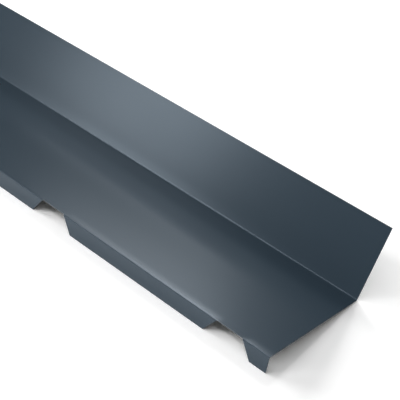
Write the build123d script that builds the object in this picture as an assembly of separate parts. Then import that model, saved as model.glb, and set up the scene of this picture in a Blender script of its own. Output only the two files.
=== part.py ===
from build123d import *
import os
from math import asin, atan2, degrees, hypot, radians, tan

# Ridge cap for a mono-pitch roof: one strip of coated steel sheet, folded twice, whose
# down-turned lip is notched to sit over the ribs of trapezoidal roof sheets.
# Millimetres. X runs along the ridge, +Y is the wall side, and the lip hangs at -Y.

# Sheet
sheet_thickness = 0.63
length = 2100

# Section, measured on the coated face between the sharp corners of the folds
wall_wing = 84
roof_wing = 148
lip_depth = 19.5
wings_angle = 110
lip_angle = 90

# Radii of the coated face, which is inside the bend and outside the lip's fold
bend_radius = 2.5
fold_radius = 1

# Notches, one over each rib of the roof sheet
rib_pitch = 250
first_notch = 50
notch_top_width = 33
notch_flank_angle = 34

# How far a cutter runs past the sheet that it cuts
overrun = 2


# Corners of the section in the roof wing's own frame: the bend is at the origin and
# the roof wing runs level to -Y, with the coated face on top
def lip_direction():
    return Vector(1, 0).rotate(Axis.Z, -lip_angle)


bend_corner = Vector(0, 0)
fold_corner = Vector(-roof_wing, 0)
wall_edge = Vector(wall_wing, 0).rotate(Axis.Z, 180 - wings_angle)
lip_edge = fold_corner + lip_direction() * lip_depth

bend_setback = bend_radius * tan(radians(180 - wings_angle) / 2)
fold_setback = fold_radius * tan(radians(180 - lip_angle) / 2)


def folded_sheet():
    """The strip folded at the bend and at the lip, before the notches."""
    coated_face = FilletPolyline(
        wall_edge,
        bend_corner,
        fold_corner,
        lip_edge,
        radius=(bend_radius, fold_radius),
    )
    outline = offset(coated_face, amount=sheet_thickness, side=Side.LEFT)
    section = Plane.YZ * make_face(outline)
    return extrude(section, amount=length / 2, both=True)


def notch_cutter():
    """One notch, centred on X = 0: it widens to the lip's edge like the rib that it
    straddles, and reaches back through the fold to where the roof wing is flat."""
    top = notch_top_width / 2
    foot_depth = lip_depth + overrun
    foot = top + foot_depth * tan(radians(notch_flank_angle))
    outline = Polyline(
        (-top, overrun),
        (top, overrun),
        (top, 0),
        (foot, -foot_depth),
        (-foot, -foot_depth),
        (-top, 0),
        close=True,
    )
    outwards = lip_direction().rotate(Axis.Z, -90)
    lip_face = Plane(
        origin=(0, fold_corner.X, fold_corner.Y),
        x_dir=(1, 0, 0),
        z_dir=(0, outwards.X, outwards.Y),
    )
    slab = extrude(make_face(outline), amount=fold_setback + overrun)
    return lip_face * Pos(0, 0, -fold_setback) * slab


def notch_places():
    """X of each notch: the first near the +X end, the rest at the ribs' pitch."""
    span = length - 2 * first_notch
    count = 1 + int(span // rib_pitch)
    return [length / 2 - first_notch - index * rib_pitch for index in range(count)]


def rest_turn():
    """Turn about X, in degrees, that lays the cap on level ground, where it stands on
    the lip's lower edge and on the back of the bend."""
    bend_centre = bend_corner + Vector(-bend_setback, bend_radius)
    back_radius = bend_radius + sheet_thickness
    back_side = lip_direction().rotate(Axis.Z, 90)
    foot = lip_edge + back_side * sheet_thickness - bend_centre
    reach = hypot(foot.X, foot.Y)
    down = degrees(atan2(foot.Y, foot.X)) % 360
    return 180 + degrees(asin(back_radius / reach)) - down


def ridge_cap():
    """The notched sheet at rest, with its origin under the middle of its outline."""
    sheet = folded_sheet()
    for place in notch_places():
        sheet -= Pos(place, 0, 0) * notch_cutter()
    sheet = Rot(X=rest_turn()) * sheet
    box = sheet.bounding_box()
    return Pos(0, -box.center().Y, -box.min.Z) * sheet


os.makedirs("parts", exist_ok=True)
export_step(ridge_cap(), "parts/ridge_cap_sheet.step")
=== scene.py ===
from math import asin, atan2, cos, hypot, pi, radians, sin, tan

import bmesh
import bpy
from mathutils import Euler, Matrix, Vector, noise


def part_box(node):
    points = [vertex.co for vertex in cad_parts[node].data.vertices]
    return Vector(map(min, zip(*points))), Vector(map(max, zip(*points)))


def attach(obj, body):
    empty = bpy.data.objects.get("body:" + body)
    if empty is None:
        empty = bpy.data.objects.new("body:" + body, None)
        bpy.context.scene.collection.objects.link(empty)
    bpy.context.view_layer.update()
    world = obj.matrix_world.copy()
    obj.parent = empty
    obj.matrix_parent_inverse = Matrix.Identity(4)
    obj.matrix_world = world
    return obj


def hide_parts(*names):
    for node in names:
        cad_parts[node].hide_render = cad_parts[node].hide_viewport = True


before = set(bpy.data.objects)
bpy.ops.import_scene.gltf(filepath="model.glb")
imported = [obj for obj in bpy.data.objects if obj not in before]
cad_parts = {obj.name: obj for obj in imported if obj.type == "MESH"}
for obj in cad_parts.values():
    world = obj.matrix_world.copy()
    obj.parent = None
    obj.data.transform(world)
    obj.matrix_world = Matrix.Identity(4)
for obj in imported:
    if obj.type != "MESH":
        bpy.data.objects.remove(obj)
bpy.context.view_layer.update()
scene = bpy.context.scene


# Ridge cap sheet: one strip of galvanised steel, coated anthracite on its weather side and
# light grey on its back. It was slit from coil, notched for the roof's ribs and folded twice
# on a press brake, and it is screwed down through its wings on site.
sheet_low, sheet_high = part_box("ridge_cap_sheet")
sheet_length = sheet_high.x - sheet_low.x
sheet_thickness = 0.00063
wall_wing = 0.084
roof_wing = 0.148
lip_depth = 0.0195
bend_turn = radians(70)
fold_turn = radians(90)
bend_radius = 0.0025
fold_radius = 0.001
bend_setback = bend_radius * tan(bend_turn / 2)
fold_setback = fold_radius * tan(fold_turn / 2)

# The flat frame has the bend's sharp corner at its origin, and the roof wing runs level to -Y.
sheet = bmesh.new()
lip_edge = Vector((0, -roof_wing, -lip_depth))
ends = [sheet.verts.new(lip_edge + Vector((x, 0, 0))) for x in (sheet_low.x, sheet_high.x)]
leading_edges = [sheet.edges.new(ends)]


def drawn_on(edges, along, steps):
    """Extrudes the strip's leading edge by a straight run and returns the new leading edge."""
    for step in range(steps):
        made = bmesh.ops.extrude_edge_only(sheet, edges=edges)["geom"]
        corners = [part for part in made if isinstance(part, bmesh.types.BMVert)]
        edges = [part for part in made if isinstance(part, bmesh.types.BMEdge)]
        edges = [edge for edge in edges if all(corner in corners for corner in edge.verts)]
        bmesh.ops.translate(sheet, verts=corners, vec=along / steps)
    return edges


def folded_on(edges, centre, turn, steps):
    """Spins the strip's leading edge about a fold's centre line and returns the new one."""
    corners = {corner for edge in edges for corner in edge.verts}
    made = bmesh.ops.spin(
        sheet,
        geom=list(corners) + edges,
        cent=centre,
        axis=(1, 0, 0),
        angle=turn,
        steps=steps,
    )["geom_last"]
    return [part for part in made if isinstance(part, bmesh.types.BMEdge)]


up_the_lip = Vector((0, 0, lip_depth - fold_setback))
leading_edges = drawn_on(leading_edges, up_the_lip, steps=3)
fold_centre = Vector((0, -roof_wing + fold_radius, -fold_radius))
leading_edges = folded_on(leading_edges, fold_centre, -fold_turn, steps=8)
across_the_roof_wing = Vector((0, roof_wing - fold_setback - bend_setback, 0))
leading_edges = drawn_on(leading_edges, across_the_roof_wing, steps=14)
bend_centre = Vector((0, -bend_setback, bend_radius))
leading_edges = folded_on(leading_edges, bend_centre, bend_turn, steps=10)
up_the_wall_wing = Vector((0, cos(bend_turn), sin(bend_turn))) * (wall_wing - bend_setback)
drawn_on(leading_edges, up_the_wall_wing, steps=8)

# Stations along the length are close enough for the wings to take their waviness.
station_spacing = 0.0125
stations = round(sheet_length / station_spacing)
lengthwise = [edge for edge in sheet.edges if edge.calc_length() > station_spacing]
bmesh.ops.subdivide_edges(sheet, edges=lengthwise, cuts=stations - 1, use_grid_fill=True)

# One notch sits over each rib of the roof sheet. It widens towards the lip's edge.
rib_pitch = 0.250
first_notch = 0.050
notch_top_width = 0.033
notch_flank_angle = radians(34)
notch_count = 1 + int((sheet_length - 2 * first_notch) // rib_pitch)
notch_back = -roof_wing + fold_setback
merge_distance = 0.00001


def lip_and_fold():
    """The faces in front of the flat part of the roof wing."""
    return [face for face in sheet.faces if face.calc_center_median().y < notch_back]


for index in range(notch_count):
    notch_x = sheet_high.x - first_notch - index * rib_pitch
    for side in (-1, 1):
        cut_faces = lip_and_fold()
        cut_edges = {edge for face in cut_faces for edge in face.edges}
        cut_corners = {corner for face in cut_faces for corner in face.verts}
        bmesh.ops.bisect_plane(
            sheet,
            geom=cut_faces + list(cut_edges) + list(cut_corners),
            dist=merge_distance,
            plane_co=(notch_x + side * notch_top_width / 2, 0, 0),
            plane_no=(1, 0, side * tan(notch_flank_angle)),
        )
    punched = []
    for face in lip_and_fold():
        centre = face.calc_center_median()
        half_width = notch_top_width / 2 - centre.z * tan(notch_flank_angle)
        if abs(centre.x - notch_x) < half_width:
            punched.append(face)
    bmesh.ops.delete(sheet, geom=punched, context="FACES")

# Coil steel is never quite flat: between its stiff folds and edges each wing waves a little.
wave_height = 0.00012
wave_length = 0.22
wall_normal = Vector((0, -sin(bend_turn), cos(bend_turn)))
roof_normal = Vector((0, 0, 1))


def wave_at(x, across, seed, change_across):
    """The height of a wing's wave, which dies out towards both sides of the wing."""
    wave = noise.noise(Vector((x / wave_length, seed, change_across * across)))
    return wave_height * wave * sin(pi * across)


for corner in sheet.verts:
    x, y, z = corner.co
    if z > bend_setback * sin(bend_turn):
        across = (z / sin(bend_turn) - bend_setback) / (wall_wing - bend_setback)
        corner.co += wall_normal * wave_at(x, across, seed=3.7, change_across=0.6)
    elif -bend_setback > y > notch_back:
        across = (-bend_setback - y) / (-bend_setback - notch_back)
        corner.co += roof_normal * wave_at(x, across, seed=8.1, change_across=0.9)

# Round the outside of the tight fold the coat is stretched, which dulls it.
stretch = sheet.verts.layers.float.new("stretch")
for corner in sheet.verts:
    past_the_roof_wing = corner.co.y < notch_back - merge_distance
    above_the_lip = corner.co.z > -fold_setback + merge_distance
    corner[stretch] = 1.0 if past_the_roof_wing and above_the_lip else 0.0

# At rest the cap stands on the lip's lower edge and on the back of the bend: the foot is the
# inner corner of that edge, as the centre of the bend sees it.
back_radius = bend_radius + sheet_thickness
foot_y = -roof_wing + sheet_thickness - bend_centre.y
foot_z = -lip_depth - bend_centre.z
foot_down = atan2(foot_z, foot_y) % (2 * pi)
rest_turn = pi + asin(back_radius / hypot(foot_y, foot_z)) - foot_down
rest_matrix = Matrix.Rotation(rest_turn, 3, "X")
bmesh.ops.rotate(sheet, verts=sheet.verts, cent=(0, 0, 0), matrix=rest_matrix)
lip_y = min(corner.co.y for corner in sheet.verts)
top_z = max(corner.co.z for corner in sheet.verts)
bmesh.ops.translate(sheet, verts=sheet.verts, vec=(0, sheet_low.y - lip_y, sheet_high.z - top_z))

bmesh.ops.remove_doubles(sheet, verts=sheet.verts, dist=merge_distance)
bmesh.ops.recalc_face_normals(sheet, faces=sheet.faces)
roof_face = max(sheet.faces, key=lambda face: abs(face.normal.z))
if roof_face.normal.z < 0:
    bmesh.ops.reverse_faces(sheet, faces=sheet.faces)
for face in sheet.faces:
    face.smooth = True
sheet_mesh = bpy.data.meshes.new("ridge_cap")
sheet.to_mesh(sheet_mesh)
sheet.free()
ridge_cap = bpy.data.objects.new("ridge_cap", sheet_mesh)
scene.collection.objects.link(ridge_cap)

# The sheet gets its thickness behind the weather side. Material 1 is its back and 2 its edges.
gauge = ridge_cap.modifiers.new("sheet gauge", "SOLIDIFY")
gauge.thickness = sheet_thickness
gauge.offset = -1
gauge.use_even_offset = True
gauge.use_quality_normals = True
gauge.material_offset = 1
gauge.material_offset_rim = 2
shear_rounding = 0.0001
sharper_than_a_fold_step = radians(40)
shear_edge = ridge_cap.modifiers.new("sheared edges", "BEVEL")
shear_edge.width = shear_rounding
shear_edge.segments = 2
shear_edge.limit_method = "ANGLE"
shear_edge.angle_limit = sharper_than_a_fold_step
shear_edge.harden_normals = True

# Rolled coil under a baked coat: streaks run along the strip, the coat sets with a faint
# orange peel, and its gloss drifts slowly from place to place.
rolled_coat = bpy.data.node_groups.new("rolled coat", "ShaderNodeTree")
settings = {"Peel Size": 0.0012, "Peel Depth": 0.5, "Streak Depth": 0.5, "Streak Share": 0.5}
number = "NodeSocketFloat"
for name, usual in settings.items():
    socket = rolled_coat.interface.new_socket(name=name, in_out="INPUT", socket_type=number)
    socket.default_value = usual
for name in ("Drift", "Gloss", "Height"):
    rolled_coat.interface.new_socket(name=name, in_out="OUTPUT", socket_type=number)
group_in = rolled_coat.nodes.new("NodeGroupInput")
group_out = rolled_coat.nodes.new("NodeGroupOutput")
place = rolled_coat.nodes.new("ShaderNodeTexCoord")

drifts_per_metre = 9.0
drift = rolled_coat.nodes.new("ShaderNodeTexNoise")
drift.inputs["Scale"].default_value = drifts_per_metre
drift.inputs["Detail"].default_value = 2.0
rolled_coat.links.new(place.outputs["Object"], drift.inputs["Vector"])

# The strip's length is X, so a streak is long in X and narrow across it.
streaks_along = 6.0
streaks_across = 260.0
along_the_strip = rolled_coat.nodes.new("ShaderNodeMapping")
along_the_strip.inputs["Scale"].default_value = (streaks_along, streaks_across, streaks_across)
rolled_coat.links.new(place.outputs["Object"], along_the_strip.inputs["Vector"])
streaks = rolled_coat.nodes.new("ShaderNodeTexNoise")
streaks.inputs["Scale"].default_value = 1.0
streaks.inputs["Detail"].default_value = 3.0
rolled_coat.links.new(along_the_strip.outputs["Vector"], streaks.inputs["Vector"])

peel_scale = rolled_coat.nodes.new("ShaderNodeMath")
peel_scale.operation = "DIVIDE"
peel_scale.inputs[0].default_value = 1.0
rolled_coat.links.new(group_in.outputs["Peel Size"], peel_scale.inputs[1])
peel = rolled_coat.nodes.new("ShaderNodeTexNoise")
peel.inputs["Detail"].default_value = 1.0
rolled_coat.links.new(place.outputs["Object"], peel.inputs["Vector"])
rolled_coat.links.new(peel_scale.outputs["Value"], peel.inputs["Scale"])

peel_height = rolled_coat.nodes.new("ShaderNodeMath")
peel_height.operation = "MULTIPLY"
rolled_coat.links.new(peel.outputs["Fac"], peel_height.inputs[0])
rolled_coat.links.new(group_in.outputs["Peel Depth"], peel_height.inputs[1])
coat_height = rolled_coat.nodes.new("ShaderNodeMath")
coat_height.operation = "MULTIPLY_ADD"
rolled_coat.links.new(streaks.outputs["Fac"], coat_height.inputs[0])
rolled_coat.links.new(group_in.outputs["Streak Depth"], coat_height.inputs[1])
rolled_coat.links.new(peel_height.outputs["Value"], coat_height.inputs[2])
dulling = rolled_coat.nodes.new("ShaderNodeMix")
rolled_coat.links.new(group_in.outputs["Streak Share"], dulling.inputs["Factor"])
rolled_coat.links.new(drift.outputs["Fac"], dulling.inputs["A"])
rolled_coat.links.new(streaks.outputs["Fac"], dulling.inputs["B"])
rolled_coat.links.new(drift.outputs["Fac"], group_out.inputs["Drift"])
rolled_coat.links.new(dulling.outputs["Result"], group_out.inputs["Gloss"])
rolled_coat.links.new(coat_height.outputs["Value"], group_out.inputs["Height"])


def coated(
    name,
    deep_tone,
    pale_tone,
    shine,
    shine_tint,
    glossy,
    dull,
    stretch_dulling,
    skin_settings,
    relief_height,
):
    """A coat on rolled steel, whose tone drifts, whose gloss streaks and whose skin peels."""
    material = bpy.data.materials.new(name)
    material.use_nodes = True
    nodes, links = material.node_tree.nodes, material.node_tree.links
    shader = nodes["Principled BSDF"]
    skin = nodes.new("ShaderNodeGroup")
    skin.node_tree = rolled_coat
    for setting, value in skin_settings.items():
        skin.inputs[setting].default_value = value

    tone = nodes.new("ShaderNodeMix")
    tone.data_type = "RGBA"
    tone.inputs["A"].default_value = (*deep_tone, 1)
    tone.inputs["B"].default_value = (*pale_tone, 1)
    links.new(skin.outputs["Drift"], tone.inputs["Factor"])
    links.new(tone.outputs["Result"], shader.inputs["Base Color"])

    low_noise, high_noise = 0.3, 0.7
    gloss = nodes.new("ShaderNodeMapRange")
    gloss.inputs["From Min"].default_value = low_noise
    gloss.inputs["From Max"].default_value = high_noise
    gloss.inputs["To Min"].default_value = glossy
    gloss.inputs["To Max"].default_value = dull
    links.new(skin.outputs["Gloss"], gloss.inputs["Value"])
    stretched = nodes.new("ShaderNodeAttribute")
    stretched.attribute_name = "stretch"
    fold_dulled = nodes.new("ShaderNodeMath")
    fold_dulled.operation = "MULTIPLY_ADD"
    fold_dulled.inputs[1].default_value = stretch_dulling
    links.new(stretched.outputs["Fac"], fold_dulled.inputs[0])
    links.new(gloss.outputs["Result"], fold_dulled.inputs[2])
    links.new(fold_dulled.outputs["Value"], shader.inputs["Roughness"])

    shader.inputs["Specular IOR Level"].default_value = shine
    shader.inputs["Specular Tint"].default_value = (*shine_tint, 1)
    relief = nodes.new("ShaderNodeBump")
    relief.inputs["Distance"].default_value = relief_height
    links.new(skin.outputs["Height"], relief.inputs["Height"])
    links.new(relief.outputs["Normal"], shader.inputs["Normal"])
    return material


sheet_mesh.materials.append(coated(
    "satin anthracite coat",
    deep_tone=(0.0260, 0.0406, 0.0551),
    pale_tone=(0.0279, 0.0436, 0.0591),
    shine=0.57,
    shine_tint=(0.753, 0.880, 1.0),
    glossy=0.20,
    dull=0.22,
    stretch_dulling=0.25,
    skin_settings={
        "Peel Size": 0.0016,
        "Peel Depth": 0.6,
        "Streak Depth": 0.05,
        "Streak Share": 0.2,
    },
    relief_height=0.000004,
))
sheet_mesh.materials.append(coated(
    "light grey back coat",
    deep_tone=(0.270, 0.278, 0.276),
    pale_tone=(0.330, 0.336, 0.330),
    shine=0.5,
    shine_tint=(1.0, 1.0, 1.0),
    glossy=0.36,
    dull=0.46,
    stretch_dulling=0.05,
    skin_settings={
        "Peel Size": 0.0011,
        "Peel Depth": 0.4,
        "Streak Depth": 0.5,
        "Streak Share": 0.7,
    },
    relief_height=0.000006,
))

# Sheared across, the strip shows its grey steel, dulled by the zinc that was drawn over it.
cut_edge = bpy.data.materials.new("sheared steel edge")
cut_edge.use_nodes = True
cut_nodes, cut_links = cut_edge.node_tree.nodes, cut_edge.node_tree.links
cut_shader = cut_nodes["Principled BSDF"]
cut_shader.inputs["Metallic"].default_value = 1.0
cut_place = cut_nodes.new("ShaderNodeTexCoord")
marks_per_metre = 1400.0
shear_marks = cut_nodes.new("ShaderNodeTexNoise")
shear_marks.inputs["Scale"].default_value = marks_per_metre
shear_marks.inputs["Detail"].default_value = 3.0
cut_links.new(cut_place.outputs["Object"], shear_marks.inputs["Vector"])
cut_tone = cut_nodes.new("ShaderNodeMix")
cut_tone.data_type = "RGBA"
cut_tone.inputs["A"].default_value = (0.10, 0.11, 0.12, 1)
cut_tone.inputs["B"].default_value = (0.26, 0.27, 0.28, 1)
cut_links.new(shear_marks.outputs["Fac"], cut_tone.inputs["Factor"])
cut_links.new(cut_tone.outputs["Result"], cut_shader.inputs["Base Color"])
cut_gloss = cut_nodes.new("ShaderNodeMapRange")
cut_gloss.inputs["To Min"].default_value = 0.55
cut_gloss.inputs["To Max"].default_value = 0.35
cut_links.new(shear_marks.outputs["Fac"], cut_gloss.inputs["Value"])
cut_links.new(cut_gloss.outputs["Result"], cut_shader.inputs["Roughness"])
sheet_mesh.materials.append(cut_edge)

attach(ridge_cap, "root")
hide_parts("ridge_cap_sheet")


# Studio floor: a plain white sheet that runs past every view. In a view or a reflection it is a
# little paler than its light makes it, so only the deeper part of the shadow shows, and beyond the
# reach of the lamps it is plain white there.
floor_half_side = 60
floor_white = 0.9
paler_in_view = 1.25
lamp_reach = 2.0
lamp_fade = 1.0
floor_form = bmesh.new()
bmesh.ops.create_grid(floor_form, x_segments=1, y_segments=1, size=floor_half_side)
floor_mesh = bpy.data.meshes.new("studio floor")
floor_form.to_mesh(floor_mesh)
floor_form.free()
floor = bpy.data.objects.new("studio_floor", floor_mesh)
scene.collection.objects.link(floor)
floor_paint = bpy.data.materials.new("white floor")
floor_paint.use_nodes = True
floor_nodes, floor_links = floor_paint.node_tree.nodes, floor_paint.node_tree.links
floor_shader = floor_nodes["Principled BSDF"]
floor_shader.inputs["Roughness"].default_value = 1.0
floor_shader.inputs["Specular IOR Level"].default_value = 0.0
ray = floor_nodes.new("ShaderNodeLightPath")
seen_or_mirrored = floor_nodes.new("ShaderNodeMath")
seen_or_mirrored.operation = "ADD"
seen_or_mirrored.use_clamp = True
floor_links.new(ray.outputs["Is Camera Ray"], seen_or_mirrored.inputs[0])
floor_links.new(ray.outputs["Is Glossy Ray"], seen_or_mirrored.inputs[1])
in_any_view = floor_nodes.new("ShaderNodeMath")
in_any_view.operation = "ADD"
in_any_view.use_clamp = True
floor_links.new(seen_or_mirrored.outputs["Value"], in_any_view.inputs[0])
floor_links.new(ray.outputs["Is Transmission Ray"], in_any_view.inputs[1])
floor_tone = floor_nodes.new("ShaderNodeMix")
floor_tone.data_type = "RGBA"
seen_white = floor_white * paler_in_view
floor_tone.inputs["A"].default_value = (floor_white, floor_white, floor_white, 1)
floor_tone.inputs["B"].default_value = (seen_white, seen_white, seen_white, 1)
floor_links.new(in_any_view.outputs["Value"], floor_tone.inputs["Factor"])
floor_links.new(floor_tone.outputs["Result"], floor_shader.inputs["Base Color"])
floor_place = floor_nodes.new("ShaderNodeTexCoord")
from_the_middle = floor_nodes.new("ShaderNodeVectorMath")
from_the_middle.operation = "LENGTH"
floor_links.new(floor_place.outputs["Object"], from_the_middle.inputs["Vector"])
past_the_lamps = floor_nodes.new("ShaderNodeMapRange")
past_the_lamps.inputs["From Min"].default_value = lamp_reach
past_the_lamps.inputs["From Max"].default_value = lamp_reach + lamp_fade
floor_links.new(from_the_middle.outputs["Value"], past_the_lamps.inputs["Value"])
far_white = floor_nodes.new("ShaderNodeMath")
far_white.operation = "MULTIPLY"
floor_links.new(past_the_lamps.outputs["Result"], far_white.inputs[0])
floor_links.new(in_any_view.outputs["Value"], far_white.inputs[1])
floor_links.new(far_white.outputs["Value"], floor_shader.inputs["Emission Color"])
floor_shader.inputs["Emission Strength"].default_value = 1.0
floor_mesh.materials.append(floor_paint)


# Studio light: a dim surround and soft boxes six metres from the lit end of the cap. The roof
# wing mirrors the key boxes, the wall wing the strip boxes and the bend the overhead box. The far
# box stands low beyond the far end and lays the near end's shadow on the floor. The coat doesn't
# mirror it, which keeps glare off the wings. The front box lights the floor before the lip.
scene.world = bpy.data.worlds.new("studio surround")
scene.world.use_nodes = True
surround = scene.world.node_tree.nodes["Background"]
surround.inputs["Color"].default_value = (0.07, 0.07, 0.07, 1)
surround.inputs["Strength"].default_value = 1.0
lit_point = Vector((0.85, 0, 0.02))
box_distance = 6.0


def soft_box(name, azimuth, elevation, width, height, radiance, mirrored=True):
    """A flat lamp that faces the lit point. Angles are in degrees, azimuth from +Y towards +X."""
    turn, rise = radians(azimuth), radians(elevation)
    towards = Vector((sin(turn) * cos(rise), cos(turn) * cos(rise), sin(rise)))
    lamp = bpy.data.lights.new(name, "AREA")
    lamp.shape = "RECTANGLE"
    lamp.size = width
    lamp.size_y = height
    lamp.energy = radiance * pi * width * height
    box = bpy.data.objects.new(name, lamp)
    box.visible_glossy = mirrored
    scene.collection.objects.link(box)
    box.location = lit_point + towards * box_distance
    box.rotation_euler = towards.to_track_quat("Z", "Y").to_euler()


soft_box("key box", -34.6, 42.9, width=1.00, height=0.80, radiance=21.32)
soft_box("low key box", -36.3, 35.1, width=1.34, height=1.55, radiance=2.33)
soft_box("strip box", -138.3, 33.4, width=2.06, height=1.15, radiance=8.45)
soft_box("low strip box", -143.2, 18.4, width=1.11, height=2.31, radiance=4.99)
soft_box("overhead box", -102.8, 55.4, width=1.94, height=1.47, radiance=4.10)
soft_box("far box", -86.2, 13.0, width=7.69, height=1.89, radiance=20.96, mirrored=False)
soft_box("front box", 169.3, 60.5, width=6.77, height=0.80, radiance=7.97)


# Camera: at the photograph's place, in front of the near end and to its right. Place, turn and
# lens were solved from the photo's long edges, square end and notches.
camera = bpy.data.cameras.new("camera")
camera.sensor_width = 36
camera.lens = 95.639
camera.clip_start = 0.01
camera.clip_end = 200
viewer = bpy.data.objects.new("camera", camera)
scene.collection.objects.link(viewer)
viewer.location = (1.41879, -0.69740, 0.72267)
viewer.rotation_euler = Euler((radians(52.787), radians(-5.475), radians(42.096)), "XYZ")
scene.camera = viewer
scene.view_settings.view_transform = "Standard"
